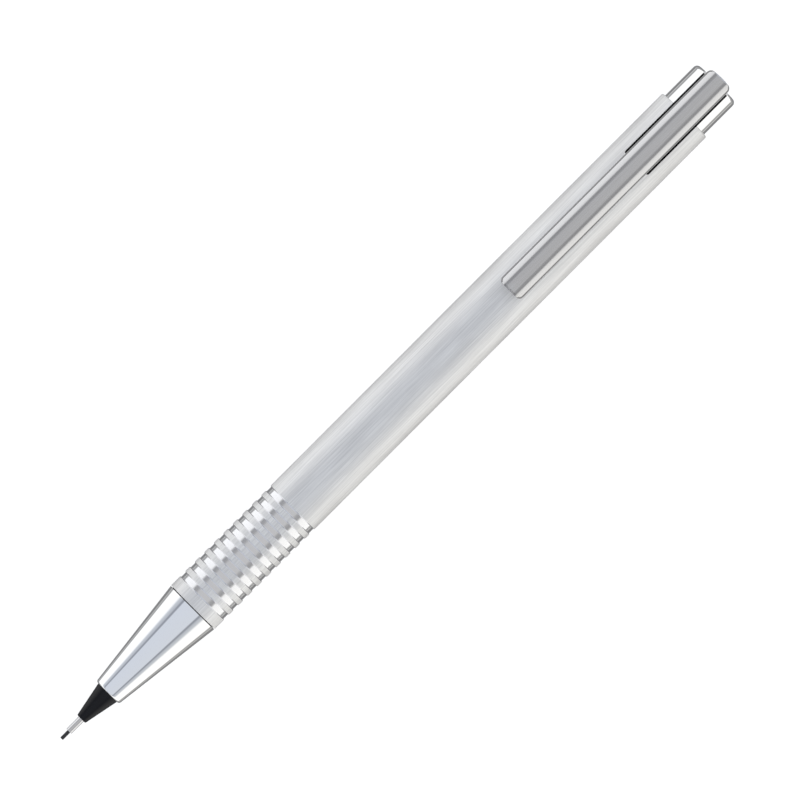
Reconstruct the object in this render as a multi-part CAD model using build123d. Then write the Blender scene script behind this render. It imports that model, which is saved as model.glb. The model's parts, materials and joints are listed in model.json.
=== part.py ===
from build123d import *
import math
import os

# A mechanical pencil for 0.5 mm leads: a slotted metal barrel with a ringed grip, a chrome nose cone
# that unscrews, a three-jaw lead clutch, and a chrome push button that carries a sprung pocket clip.
#
# Every shape is drawn about the pencil's own axis. A station is a distance in millimetres behind the
# point of the lead, and a radius is measured from that axis. The finished part lies along X with its
# point towards -X and its clip up, and its origin is under the middle of it, on the surface that it
# rests on.

# Outside
OVERALL_LENGTH = 136.75
BARREL_R = 4.55
BARREL_FRONT = 27.30
BARREL_REAR = 129.26
BARREL_WALL = 0.40
BARREL_END_ROUND = 0.30
SEAM_BREAK = 0.10

# Grip rings turned into the barrel
GROOVE_COUNT = 10
GROOVE_PITCH = 1.969
FIRST_GROOVE = 29.69
GROOVE_WIDTH = 1.10
GROOVE_DEPTH = 0.18

# Clip slot through the top of the barrel, open at the rear
SLOT_FRONT = 119.04
SLOT_WIDTH = 4.87
SLOT_CORNER_R = 0.30

# Writing end
LEAD_R = 0.28
LEAD_EDGE_ROUND = 0.10
LEAD_LENGTH = 60.0
SLEEVE_FRONT = 1.54
SLEEVE_R = 0.53
SLEEVE_BORE_R = 0.31
SLEEVE_HEAD_R = 0.75
SLEEVE_HEAD_FRONT = 5.0
SLEEVE_REAR = 8.50
TIP_FRONT = 4.10
TIP_FRONT_R = 0.84
TIP_REAR_R = 1.93
TIP_SHANK_R = 1.60
TIP_SHANK_REAR = 14.0
RETAINER_FRONT = 9.0
RETAINER_LENGTH = 3.0
RETAINER_R = 1.0
RETAINER_BORE_R = 0.295
NOSE_FRONT = 9.56
NOSE_FRONT_R = 2.34
NOSE_REAR_R = 4.51
NOSE_EDGE_ROUND = 0.40

# Screw thread that holds the nose cone, 7.5 mm across and 0.5 mm in pitch
THREAD_R = 3.75
THREAD_PITCH = 0.50
THREAD_DEPTH = 0.27
THREAD_FRONT = 28.3
THREAD_REAR = 34.0
STUB_REAR = 34.3
STUB_RELIEF_R = 3.40

# Front bush and clutch housing
BUSH_FRONT = 28.0
BUSH_SHOULDER = 36.0
BUSH_REAR = 49.5
BUSH_THREAD_BORE_R = 3.80
BUSH_BORE_R = 2.90
HOUSING_FRONT = 18.5
HOUSING_R = 2.30
HOUSING_FLANGE_FRONT = 34.4
HOUSING_FLANGE_R = 3.60
HOUSING_REAR = 46.0
HOUSING_REAR_R = 2.60
HOUSING_COLLAR_FRONT = 21.7
HOUSING_COLLAR_REAR = 23.0
HOUSING_COLLAR_R = 1.30
RING_BORE_R = 1.95
SPRING_BORE_R = 2.00

# Clutch
RING_FRONT = 19.2
RING_REAR = 21.6
RING_R = 1.90
RING_MOUTH_R = 1.37
RING_TAPER_REAR = 20.2
RING_THROAT_R = 1.12
JAW_COUNT = 3
JAW_FRONT = 17.2
JAW_HEAD_R = 1.45
JAW_HEAD_REAR = 18.8
JAW_TAPER_REAR = 20.6
JAW_TAPER_R = 1.00
JAW_STEM_R = 0.95
JAW_REAR = 26.98
JAW_GRIP_R = 0.30
JAW_GRIP_REAR = 20.0
JAW_SLIT = 0.25
CHUCK_BORE_R = 0.50
CHUCK_FRONT = 27.0
CHUCK_SHOULDER = 33.0
CHUCK_THREAD_R = 1.10
CHUCK_REAR = 38.0

# Carriage that the button pushes
CONNECTOR_FRONT = 33.5
CONNECTOR_R = 1.90
CONNECTOR_SOCKET_REAR = 38.5
CONNECTOR_FLANGE_FRONT = 49.0
CONNECTOR_BORE_R = 0.60
FUNNEL_FRONT = 50.5
FUNNEL_R = 1.70
SPIGOT_REAR = 54.0
TUBE_FRONT = 50.0
TUBE_REAR = 120.0
TUBE_R = 2.60
TUBE_BORE_R = 2.10
SPARE_LEAD_COUNT = 3
SPARE_LEAD_FRONT = 55.2
SPARE_LEAD_OFFSET = 1.20
FERRULE_FRONT = 115.5
FERRULE_REAR = 125.5
FERRULE_BORE_R = 1.80
FERRULE_WALL = 0.30
ERASER_FRONT = 121.0
ERASER_REAR = 129.5
ERASER_R = 2.30
ERASER_ROUND = 0.60

# Springs
SPRING_WIRE_R = 0.15
SPRING_R = 1.75
SPRING_TURNS = 8
CLIP_SPRING_WIRE_R = 0.10
CLIP_SPRING_R = 0.80
CLIP_SPRING_TURNS = 6
CLIP_SPRING_STATION = 134.0
CLIP_SPRING_GAP = 0.05

# Push button
CORE_FRONT = 113.5
CORE_FLANGE_REAR = 116.0
CORE_FLANGE_R = 4.10
CORE_BODY_R = 4.05
CORE_REAR_R = 3.65
CORE_BORE_R = 2.65
CORE_BORE_REAR = 130.2
CAP_FRONT = 126.0
CAP_REAR = 135.94
CAP_R = 4.05
CAP_WALL = 0.40
CAP_ROUND = 0.75
CAP_SLOT_WIDTH = 4.86
CAP_SLOT_FLOOR = 2.45
NOTCH_FRONT = 126.3
BOSS_WIDTH = 3.10
BOSS_FRONT = 129.6
BOSS_REAR = 132.0
BOSS_TOP = 4.15
SEAT_FRONT = 132.6
SEAT_HEIGHT = 3.0
SEAT_POST_R = 0.55
SEAT_POST_TOP = 3.7

# Pocket clip, a channel bent from sheet, and the pin that it tilts on
CLIP_FRONT = 92.80
CLIP_WIDTH = 4.15
CLIP_SHEET = 0.45
CLIP_TOP = 7.15
CLIP_CROWN_R = 2.70
CLIP_EDGE_ROUND = 0.35
CLIP_CORNER_R = 0.80
CLIP_REAR_BOW = 0.12
CLIP_REAR_ROUND = 0.45
CLIP_LEG_BOTTOM = 5.45
CLIP_TOE_REAR = 97.2
CLIP_TOE_STATION = 95.2
CLIP_TOE_BOTTOM = 4.60
CLIP_TOE_TOP = 6.75
CLIP_BEND = 96.6
CLIP_EAR_FRONT = 126.7
CLIP_EAR_SLANT = 0.9
CLIP_EAR_BOTTOM = 3.05
CLIP_LUG_R = 0.75
PIN_STATION = 130.8
PIN_HEIGHT = 3.30
PIN_R = 0.35
PIN_CLEARANCE = 0.03

# Values that follow from the ones above
BARREL_BORE_R = BARREL_R - BARREL_WALL
SPIGOT_R = TUBE_BORE_R
TOUCH = 1e-3
PAST = 1.0
AXIS_TO_PART = Pos(-OVERALL_LENGTH / 2, 0, BARREL_R)


def turned(*outline):
    """A body of revolution from the (station, radius) corners of its half section."""
    half_section = make_face(Polyline(*[(station, 0, radius) for station, radius in outline], close=True))
    return revolve(half_section, Axis.X, 360)


def tube(front, rear, radius, bore):
    """A plain tube between two stations."""
    return turned((front, bore), (rear, bore), (rear, radius), (front, radius))


def rod(front, rear, radius):
    """A plain solid round bar between two stations."""
    return turned((front, 0), (rear, 0), (rear, radius), (front, radius))


def rims(shape, station, radius):
    """The circular edges that a turned shape has at one station and radius."""
    circles = shape.edges().filter_by(GeomType.CIRCLE)
    at_station = [edge for edge in circles if abs(edge.arc_center.X - station) < TOUCH]
    return [edge for edge in at_station if abs(edge.radius - radius) < TOUCH]


def block(front, rear, width, bottom, top):
    """A box between two stations, centred on the axis from side to side."""
    corner = Pos((front + rear) / 2, 0, (bottom + top) / 2)
    return corner * Box(rear - front, width, top - bottom)


def coil(start, direction, length, radius, wire_r, turns):
    """An open round-wire coil spring that starts at a point and runs along a direction."""
    free_length = length - 2 * wire_r
    path = Helix(pitch=free_length / turns, height=free_length, radius=radius)
    section = Plane(origin=path @ 0, z_dir=path % 0) * Circle(wire_r)
    wire = sweep(section, path=path, is_frenet=True)
    along_z = Pos(0, 0, wire_r) * wire
    return Plane(origin=start, z_dir=direction) * along_z


# Writing end


def writing_lead():
    """The lead in use, with a slightly worn front edge."""
    lead = rod(0, LEAD_LENGTH, LEAD_R)
    return fillet(rims(lead, 0, LEAD_R), LEAD_EDGE_ROUND)


def guide_sleeve():
    """The thin steel sleeve round the lead, flared inside the tip to the head that holds it."""
    funnel_r = 0.45
    funnel_length = 0.5
    edge = 0.06
    return turned(
        (SLEEVE_FRONT, SLEEVE_BORE_R),
        (SLEEVE_REAR - funnel_length, SLEEVE_BORE_R),
        (SLEEVE_REAR, funnel_r),
        (SLEEVE_REAR, SLEEVE_HEAD_R),
        (SLEEVE_HEAD_FRONT, SLEEVE_HEAD_R),
        (TIP_FRONT, SLEEVE_R),
        (SLEEVE_FRONT + edge, SLEEVE_R),
        (SLEEVE_FRONT, SLEEVE_R - edge),
    )


def tip_insert():
    """The black tapered tip, whose shank is pressed into the nose cone."""
    passage_r = 0.45
    front_round = 0.15
    rear_round = 0.06
    tip = turned(
        (TIP_FRONT, SLEEVE_R),
        (SLEEVE_HEAD_FRONT, SLEEVE_HEAD_R),
        (SLEEVE_REAR, SLEEVE_HEAD_R),
        (SLEEVE_REAR, passage_r),
        (RETAINER_FRONT, passage_r),
        (RETAINER_FRONT, RETAINER_R),
        (TIP_SHANK_REAR, RETAINER_R),
        (TIP_SHANK_REAR, TIP_SHANK_R),
        (NOSE_FRONT, TIP_SHANK_R),
        (NOSE_FRONT, TIP_REAR_R),
        (TIP_FRONT, TIP_FRONT_R),
    )
    tip = fillet(rims(tip, TIP_FRONT, TIP_FRONT_R), front_round)
    return fillet(rims(tip, NOSE_FRONT, TIP_REAR_R), rear_round)


def lead_retainer():
    """The rubber grommet that keeps the lead from falling out while the jaws are open."""
    return tube(RETAINER_FRONT, RETAINER_FRONT + RETAINER_LENGTH, RETAINER_R, RETAINER_BORE_R)


def nose_cone():
    """The chrome cone, with its threaded stub and the stepped bore that holds the clutch."""
    clearance_bore_r = 1.75
    stop_station = 18.3
    housing_bore_r = HOUSING_R + 0.05
    wide_station = 25.0
    wide_bore_r = 2.95
    cone = turned(
        (NOSE_FRONT, TIP_SHANK_R),
        (TIP_SHANK_REAR, TIP_SHANK_R),
        (TIP_SHANK_REAR, clearance_bore_r),
        (stop_station, clearance_bore_r),
        (stop_station, housing_bore_r),
        (wide_station, housing_bore_r),
        (wide_station, wide_bore_r),
        (STUB_REAR, wide_bore_r),
        (STUB_REAR, STUB_RELIEF_R),
        (THREAD_REAR, THREAD_R),
        (THREAD_FRONT, THREAD_R),
        (THREAD_FRONT, STUB_RELIEF_R),
        (BARREL_FRONT, STUB_RELIEF_R),
        (BARREL_FRONT, NOSE_REAR_R),
        (NOSE_FRONT, NOSE_FRONT_R),
    )
    cone = fillet(rims(cone, NOSE_FRONT, NOSE_FRONT_R), NOSE_EDGE_ROUND)
    cone = chamfer(rims(cone, BARREL_FRONT, NOSE_REAR_R), SEAM_BREAK)
    turns = int((THREAD_REAR - THREAD_FRONT) / THREAD_PITCH)
    for turn in range(turns):
        cone -= thread_groove(THREAD_FRONT + (turn + 0.5) * THREAD_PITCH)
    return cone


def thread_groove(station):
    """One 60 degree thread groove, cut as a ring."""
    half_width = THREAD_DEPTH * math.tan(math.radians(30))
    crest = THREAD_R + THREAD_DEPTH
    return turned(
        (station - 2 * half_width, crest),
        (station, THREAD_R - THREAD_DEPTH),
        (station + 2 * half_width, crest),
    )


# Barrel and what is fixed in it


def grip_groove(station):
    """One shallow round-bottomed ring, to be cut from the barrel."""
    half = GROOVE_WIDTH / 2
    arc_r = (half**2 + GROOVE_DEPTH**2) / (2 * GROOVE_DEPTH)
    return Pos(station, 0, 0) * Rot(90, 90, 0) * Torus(BARREL_R - GROOVE_DEPTH + arc_r, arc_r)


def barrel():
    """The outer tube, with its grip rings and the slot that the clip reaches through."""
    inner_break = 0.08
    shell = tube(BARREL_FRONT, BARREL_REAR, BARREL_R, BARREL_BORE_R)
    shell = fillet(rims(shell, BARREL_REAR, BARREL_R), BARREL_END_ROUND)
    shell = chamfer(rims(shell, BARREL_REAR, BARREL_BORE_R), inner_break)
    shell = chamfer(rims(shell, BARREL_FRONT, BARREL_R), SEAM_BREAK)
    for groove in range(GROOVE_COUNT):
        shell -= grip_groove(FIRST_GROOVE + groove * GROOVE_PITCH)
    slot = block(SLOT_FRONT, BARREL_REAR + PAST, SLOT_WIDTH, BARREL_R / 2, BARREL_R + PAST)
    closed_end = slot.edges().filter_by(Axis.Z).group_by(Axis.X)[0]
    return shell - fillet(closed_end, SLOT_CORNER_R)


def front_bush():
    """The brass bush in the front of the barrel, which the nose cone screws into."""
    return turned(
        (BUSH_FRONT, BUSH_THREAD_BORE_R),
        (BUSH_SHOULDER, BUSH_THREAD_BORE_R),
        (BUSH_SHOULDER, BUSH_BORE_R),
        (BUSH_REAR, BUSH_BORE_R),
        (BUSH_REAR, BARREL_BORE_R),
        (BUSH_FRONT, BARREL_BORE_R),
    )


def clutch_housing():
    """The tube round the clutch, clamped by its flange between the bush and the nose cone."""
    return turned(
        (HOUSING_FRONT, RING_BORE_R),
        (HOUSING_COLLAR_FRONT, RING_BORE_R),
        (HOUSING_COLLAR_FRONT, HOUSING_COLLAR_R),
        (HOUSING_COLLAR_REAR, HOUSING_COLLAR_R),
        (HOUSING_COLLAR_REAR, SPRING_BORE_R),
        (HOUSING_REAR, SPRING_BORE_R),
        (HOUSING_REAR, HOUSING_REAR_R),
        (BUSH_SHOULDER, HOUSING_REAR_R),
        (BUSH_SHOULDER, HOUSING_FLANGE_R),
        (HOUSING_FLANGE_FRONT, HOUSING_FLANGE_R),
        (HOUSING_FLANGE_FRONT, HOUSING_R),
        (HOUSING_FRONT, HOUSING_R),
    )


def return_spring():
    """The coil that pushes the carriage back, between the housing's collar and the connector."""
    length = CONNECTOR_FRONT - HOUSING_COLLAR_REAR
    return coil((HOUSING_COLLAR_REAR, 0, 0), (1, 0, 0), length, SPRING_R, SPRING_WIRE_R, SPRING_TURNS)


# Clutch


def chuck_ring():
    """The brass ring that squeezes the jaws shut."""
    return turned(
        (RING_FRONT, RING_MOUTH_R),
        (RING_TAPER_REAR, RING_THROAT_R),
        (RING_REAR, RING_THROAT_R),
        (RING_REAR, RING_R),
        (RING_FRONT, RING_R),
    )


def jaw_angle(number):
    """The direction of one jaw round the axis, in degrees from +Y towards +Z."""
    return 90 + number * 360 / JAW_COUNT


def chuck_jaw(number):
    """One of the equal jaws that grip the lead, with half a slit taken off each flank."""
    collet = turned(
        (JAW_FRONT, JAW_GRIP_R),
        (JAW_GRIP_REAR, JAW_GRIP_R),
        (JAW_GRIP_REAR, CHUCK_BORE_R),
        (JAW_REAR, CHUCK_BORE_R),
        (JAW_REAR, JAW_STEM_R),
        (JAW_TAPER_REAR, JAW_STEM_R),
        (JAW_TAPER_REAR, JAW_TAPER_R),
        (JAW_HEAD_REAR, JAW_HEAD_R),
        (JAW_FRONT, JAW_HEAD_R),
    )
    reach = 2 * JAW_HEAD_R
    half_share = math.radians(180 / JAW_COUNT)
    spread = reach * math.sin(half_share)
    height = reach * math.cos(half_share)
    apex = JAW_SLIT / 2 / math.sin(half_share)
    corners = ((0, apex), (spread, apex + height), (-spread, apex + height))
    sector = Plane.YZ * make_face(Polyline(*corners, close=True))
    wedge = Pos(JAW_FRONT - PAST, 0, 0) * extrude(sector, JAW_REAR - JAW_FRONT + 2 * PAST)
    return Rot(jaw_angle(number) - 90, 0, 0) * (collet & wedge)


def chuck_body():
    """The rear of the clutch, whose threaded end screws into the connector."""
    return turned(
        (CHUCK_FRONT, CHUCK_BORE_R),
        (CHUCK_REAR, CHUCK_BORE_R),
        (CHUCK_REAR, CHUCK_THREAD_R),
        (CHUCK_SHOULDER, CHUCK_THREAD_R),
        (CHUCK_SHOULDER, JAW_STEM_R),
        (CHUCK_FRONT, JAW_STEM_R),
    )


# Carriage


def chuck_connector():
    """The coupling between the clutch and the lead tube, with a funnel that feeds the next lead."""
    return turned(
        (CONNECTOR_FRONT, CHUCK_THREAD_R),
        (CONNECTOR_SOCKET_REAR, CHUCK_THREAD_R),
        (CONNECTOR_SOCKET_REAR, CONNECTOR_BORE_R),
        (FUNNEL_FRONT, CONNECTOR_BORE_R),
        (SPIGOT_REAR, FUNNEL_R),
        (SPIGOT_REAR, SPIGOT_R),
        (TUBE_FRONT, SPIGOT_R),
        (TUBE_FRONT, TUBE_R),
        (CONNECTOR_FLANGE_FRONT, TUBE_R),
        (CONNECTOR_FLANGE_FRONT, CONNECTOR_R),
        (CONNECTOR_FRONT, CONNECTOR_R),
    )


def lead_reservoir():
    """The tube that holds the spare leads and carries the button's push forward."""
    return tube(TUBE_FRONT, TUBE_REAR, TUBE_R, TUBE_BORE_R)


def spare_leads():
    """Full-length spare leads, lying side by side in the tube."""
    lead = rod(SPARE_LEAD_FRONT, SPARE_LEAD_FRONT + LEAD_LENGTH, LEAD_R)
    top_lead = Pos(0, 0, SPARE_LEAD_OFFSET) * lead
    step = 360 / SPARE_LEAD_COUNT
    return [Rot(step * number, 0, 0) * top_lead for number in range(SPARE_LEAD_COUNT)]


def eraser_ferrule():
    """The metal cup that holds the eraser and plugs the rear of the lead tube."""
    return turned(
        (FERRULE_FRONT, FERRULE_BORE_R),
        (TUBE_REAR - FERRULE_WALL, FERRULE_BORE_R),
        (TUBE_REAR - FERRULE_WALL, 0),
        (ERASER_FRONT, 0),
        (ERASER_FRONT, ERASER_R),
        (FERRULE_REAR, ERASER_R),
        (FERRULE_REAR, TUBE_R),
        (TUBE_REAR, TUBE_R),
        (TUBE_REAR, SPIGOT_R),
        (FERRULE_FRONT, SPIGOT_R),
    )


def eraser():
    """The white eraser under the button."""
    stick = rod(ERASER_FRONT, ERASER_REAR, ERASER_R)
    return fillet(rims(stick, ERASER_REAR, ERASER_R), ERASER_ROUND)


# Push button


def button_core():
    """The black inside of the button: a sliding guide, the pin's boss and the clip spring's seat."""
    core = turned(
        (CORE_FRONT, CORE_BORE_R),
        (CORE_BORE_REAR, CORE_BORE_R),
        (CORE_BORE_REAR, 0),
        (CAP_REAR - CAP_WALL, 0),
        (CAP_REAR - CAP_WALL, CORE_REAR_R),
        (CAP_FRONT, CORE_REAR_R),
        (CAP_FRONT, CORE_BODY_R),
        (CORE_FLANGE_REAR, CORE_BODY_R),
        (CORE_FLANGE_REAR, CORE_FLANGE_R),
        (CORE_FRONT, CORE_FLANGE_R),
    )
    notch_top = CLIP_TOP
    notches = block(NOTCH_FRONT, CAP_REAR + PAST, CAP_SLOT_WIDTH, CAP_SLOT_FLOOR, notch_top)
    notches -= block(NOTCH_FRONT - PAST, CAP_REAR + 2 * PAST, BOSS_WIDTH, 0, notch_top + PAST)
    core -= notches
    core += block(BOSS_FRONT, BOSS_REAR, BOSS_WIDTH, SEAT_HEIGHT, BOSS_TOP)
    core -= block(SEAT_FRONT, CAP_REAR + PAST, CAP_SLOT_WIDTH, SEAT_HEIGHT, notch_top)
    core += Pos(CLIP_SPRING_STATION, 0, (SEAT_HEIGHT + SEAT_POST_TOP) / 2) * Cylinder(
        SEAT_POST_R, SEAT_POST_TOP - SEAT_HEIGHT
    )
    return core - cross_bar(PIN_R, CLIP_WIDTH)


def cross_bar(radius, width):
    """A round bar from side to side through the clip pin's place."""
    return Pos(PIN_STATION, 0, PIN_HEIGHT) * Rot(90, 0, 0) * Cylinder(radius, width)


def push_button():
    """The chrome cap that is pressed, slotted along its top for the clip."""
    inside_r = CAP_R - CAP_WALL
    cap = turned(
        (CAP_FRONT, inside_r),
        (CAP_REAR - CAP_WALL, inside_r),
        (CAP_REAR - CAP_WALL, 0),
        (CAP_REAR, 0),
        (CAP_REAR, CAP_R),
        (CAP_FRONT, CAP_R),
    )
    cap = fillet(rims(cap, CAP_REAR, CAP_R), CAP_ROUND)
    return cap - block(CAP_FRONT - PAST, CAP_REAR + PAST, CAP_SLOT_WIDTH, CAP_SLOT_FLOOR, CAP_R + PAST)


# Pocket clip


def channel_section(inset, bottom, station):
    """The clip's crowned cross section at a station, drawn a distance inside its outer skin."""
    side = CLIP_WIDTH / 2 - inset
    crown_r = CLIP_CROWN_R - inset
    top = CLIP_TOP - inset
    shoulder = top - crown_r + math.sqrt(crown_r**2 - side**2)
    edge_round = CLIP_EDGE_ROUND - inset / 2
    outline = Polyline((-side, shoulder), (-side, bottom), (side, bottom), (side, shoulder))
    crown = ThreePointArc((side, shoulder), (0, top), (-side, shoulder))
    section = make_face([*outline.edges(), crown])
    shoulders = section.vertices().group_by(Axis.Y)[-1]
    return Pos(station, 0, 0) * (Plane.YZ * fillet(shoulders, edge_round))


def clip_side():
    """The clip's outline from the side: crown line, toe, legs, ears and the lug round the pin."""
    rear = OVERALL_LENGTH
    ear_corner = CLIP_EAR_FRONT + CLIP_EAR_SLANT
    toe_run = CLIP_TOE_REAR - CLIP_TOE_STATION
    toe_rise = CLIP_LEG_BOTTOM - CLIP_TOE_BOTTOM
    toe_r = (toe_run**2 + toe_rise**2) / (2 * toe_rise)
    toe_tip = CLIP_TOE_BOTTOM + toe_r - math.sqrt(toe_r**2 - (CLIP_TOE_STATION - CLIP_FRONT) ** 2)
    toe_arc = ThreePointArc(
        (CLIP_FRONT, toe_tip), (CLIP_TOE_STATION, CLIP_TOE_BOTTOM), (CLIP_TOE_REAR, CLIP_LEG_BOTTOM)
    )
    nose_arc = TangentArc((CLIP_BEND, CLIP_TOP), (CLIP_FRONT, CLIP_TOE_TOP), tangent=(-1, 0))
    below = Polyline(
        (CLIP_TOE_REAR, CLIP_LEG_BOTTOM),
        (CLIP_EAR_FRONT, CLIP_LEG_BOTTOM),
        (ear_corner, CLIP_EAR_BOTTOM),
        (rear, CLIP_EAR_BOTTOM),
        (rear, CLIP_TOP),
        (CLIP_BEND, CLIP_TOP),
    )
    front = Line((CLIP_FRONT, CLIP_TOE_TOP), (CLIP_FRONT, toe_tip))
    side = make_face([*below.edges(), nose_arc, front, toe_arc])
    rear_top = side.vertices().group_by(Axis.X)[-1].sort_by(Axis.Y)[-1]
    side = fillet(rear_top, CLIP_REAR_ROUND)
    lug = Pos(PIN_STATION, PIN_HEIGHT) * Circle(CLIP_LUG_R)
    return side + lug


def clip_plan():
    """The clip's outline from above, with its corners rounded and its rear end slightly bowed."""
    half = CLIP_WIDTH / 2
    corner = OVERALL_LENGTH - CLIP_REAR_BOW
    sides = Polyline((corner, half), (CLIP_FRONT, half), (CLIP_FRONT, -half), (corner, -half))
    end = ThreePointArc((corner, -half), (OVERALL_LENGTH, 0), (corner, half))
    plan = make_face([*sides.edges(), end])
    return fillet(plan.vertices(), CLIP_CORNER_R)


def clip():
    """The sprung pocket clip, hollow from its toe to its rear wall."""
    length = OVERALL_LENGTH - CLIP_FRONT
    skin = extrude(channel_section(0, 0, CLIP_FRONT), length, dir=(1, 0, 0))
    skin &= extrude(Plane.XZ * clip_side(), CLIP_WIDTH, both=True)
    skin &= extrude(clip_plan(), 2 * CLIP_TOP, dir=(0, 0, 1))
    hollow_rear = OVERALL_LENGTH - CLIP_SHEET
    hollow = extrude(
        channel_section(CLIP_SHEET, -PAST, CLIP_TOE_REAR), hollow_rear - CLIP_TOE_REAR, dir=(1, 0, 0)
    )
    return skin - hollow - cross_bar(PIN_R + PIN_CLEARANCE, 2 * CLIP_WIDTH)


def clip_pin():
    """The pin through the clip's ears and the button's boss."""
    return cross_bar(PIN_R, CLIP_WIDTH)


def clip_spring():
    """The coil that lifts the clip's tail, and so holds its toe against the barrel."""
    start = (CLIP_SPRING_STATION, 0, SEAT_HEIGHT)
    length = CLIP_TOP - CLIP_SHEET - CLIP_SPRING_GAP - SEAT_HEIGHT
    return coil(start, (0, 0, 1), length, CLIP_SPRING_R, CLIP_SPRING_WIRE_R, CLIP_SPRING_TURNS)


def save(name, shape):
    """Writes one sub-part, placed in the part's frame."""
    pieces = shape if isinstance(shape, list) else shape.solids()
    placed = [AXIS_TO_PART * piece for piece in pieces]
    whole = placed[0] if len(placed) == 1 else Compound(children=placed)
    export_step(whole, f"parts/{name}.step")


os.makedirs("parts", exist_ok=True)

for make in (
    writing_lead,
    guide_sleeve,
    tip_insert,
    lead_retainer,
    nose_cone,
    barrel,
    front_bush,
    clutch_housing,
    return_spring,
    chuck_ring,
    chuck_body,
    chuck_connector,
    lead_reservoir,
    spare_leads,
    eraser_ferrule,
    eraser,
    button_core,
    push_button,
    clip,
    clip_pin,
    clip_spring,
):
    save(make.__name__, make())

for jaw in range(JAW_COUNT):
    save(f"chuck_jaw_{jaw + 1}", chuck_jaw(jaw))
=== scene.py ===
import json
import math

import bmesh
import bpy
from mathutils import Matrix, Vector


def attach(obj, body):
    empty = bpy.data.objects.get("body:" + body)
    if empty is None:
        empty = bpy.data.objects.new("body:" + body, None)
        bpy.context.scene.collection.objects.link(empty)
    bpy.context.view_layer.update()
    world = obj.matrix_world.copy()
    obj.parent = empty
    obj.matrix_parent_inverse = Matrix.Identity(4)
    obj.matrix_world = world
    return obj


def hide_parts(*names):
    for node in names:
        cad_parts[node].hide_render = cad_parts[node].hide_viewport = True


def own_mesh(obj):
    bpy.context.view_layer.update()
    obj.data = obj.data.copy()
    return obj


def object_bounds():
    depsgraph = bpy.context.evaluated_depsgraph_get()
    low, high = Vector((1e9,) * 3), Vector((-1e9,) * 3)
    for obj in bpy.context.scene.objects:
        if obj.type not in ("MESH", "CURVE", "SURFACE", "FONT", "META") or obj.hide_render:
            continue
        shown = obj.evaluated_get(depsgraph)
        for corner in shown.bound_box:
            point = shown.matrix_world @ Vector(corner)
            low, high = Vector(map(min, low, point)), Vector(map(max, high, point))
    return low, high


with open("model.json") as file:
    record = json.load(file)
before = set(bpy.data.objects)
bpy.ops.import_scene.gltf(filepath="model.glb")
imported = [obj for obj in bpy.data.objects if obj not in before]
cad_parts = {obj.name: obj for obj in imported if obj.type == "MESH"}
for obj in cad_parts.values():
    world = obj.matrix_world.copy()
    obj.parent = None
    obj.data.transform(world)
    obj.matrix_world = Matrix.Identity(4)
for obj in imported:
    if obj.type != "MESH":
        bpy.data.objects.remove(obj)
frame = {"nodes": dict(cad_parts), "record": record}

# A mechanical pencil with a brushed barrel, a chrome nose and button, and a sprung pocket clip.
# It lies along X with its point towards -X and its clip up. Blender's own lengths are metres. The
# pencil's shapes are drawn in millimetres: a station is the distance behind the point of the lead,
# and a radius or a height is measured from the pencil's axis.

MM = 0.001
CAD_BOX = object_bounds()
POINT_X = CAD_BOX[0].x
TAIL_X = CAD_BOX[1].x
LENGTH = TAIL_X - POINT_X

# Barrel
BARREL_R = 4.545
BARREL_BORE_R = 4.15
BARREL_FRONT = 27.30
BARREL_REAR = 129.26
BARREL_END_ROUND = 0.30
GROOVE_COUNT = 10
FIRST_GROOVE = 29.69
GROOVE_PITCH = 1.969
GROOVE_WIDTH = 1.10
GROOVE_DEPTH = 0.18
GROOVE_SLOPE = 0.10
GROOVE_FOOT_R = 0.06
GROOVE_EDGE_R = 0.03
SLOT_FRONT = 119.04
SLOT_HALF = 2.435
SLOT_CORNER_R = 0.30

# Writing end
LEAD_R = 0.28
LEAD_LENGTH = 60.0
LEAD_WORN_ROUND = 0.10
SLEEVE_FRONT = 1.54
SLEEVE_REAR = 8.5
SLEEVE_R = 0.53
SLEEVE_BORE_R = 0.31
SLEEVE_FUNNEL_FRONT = 8.0
SLEEVE_FUNNEL_R = 0.45
SLEEVE_HEAD_FRONT = 5.0
SLEEVE_HEAD_R = 0.75
TIP_FRONT = 4.10
TIP_FRONT_R = 0.84
TIP_FRONT_ROUND = 0.15
TIP_REAR_R = 1.93
TIP_REAR_ROUND = 0.06
TIP_SHANK_R = 1.60
TIP_SHANK_REAR = 14.0
RETAINER_FRONT = 9.0
RETAINER_R = 1.0
NOSE_FRONT = 9.56
NOSE_FRONT_R = 2.34
NOSE_FRONT_ROUND = 0.40
NOSE_REAR_R = 4.51
NOSE_REAR_ROUND = 0.04
SEAM = 0.14
NECK_R = 4.10
THREAD_R = 3.75
THREAD_PITCH = 0.50
THREAD_DEPTH = 0.27
THREAD_FRONT = 28.3
THREAD_REAR = 34.0
STUB_REAR = 34.3
STUB_RELIEF_R = 3.40

# Clutch and the bush that holds it
BUSH_FRONT = 28.0
BUSH_SHOULDER = 36.0
BUSH_REAR = 49.5
BUSH_THREAD_BORE_R = 3.80
BUSH_BORE_R = 2.90
HOUSING_FRONT = 18.5
HOUSING_REAR = 46.0
HOUSING_R = 2.30
HOUSING_REAR_R = 2.60
HOUSING_FLANGE_FRONT = 34.4
HOUSING_FLANGE_R = 3.60
HOUSING_COLLAR_FRONT = 21.7
HOUSING_COLLAR_REAR = 23.0
HOUSING_COLLAR_R = 1.30
RING_BORE_R = 1.95
SPRING_BORE_R = 2.00
RING_FRONT = 19.2
RING_TAPER_REAR = 20.2
RING_REAR = 21.6
RING_R = 1.90
RING_MOUTH_R = 1.37
RING_THROAT_R = 1.12

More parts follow.
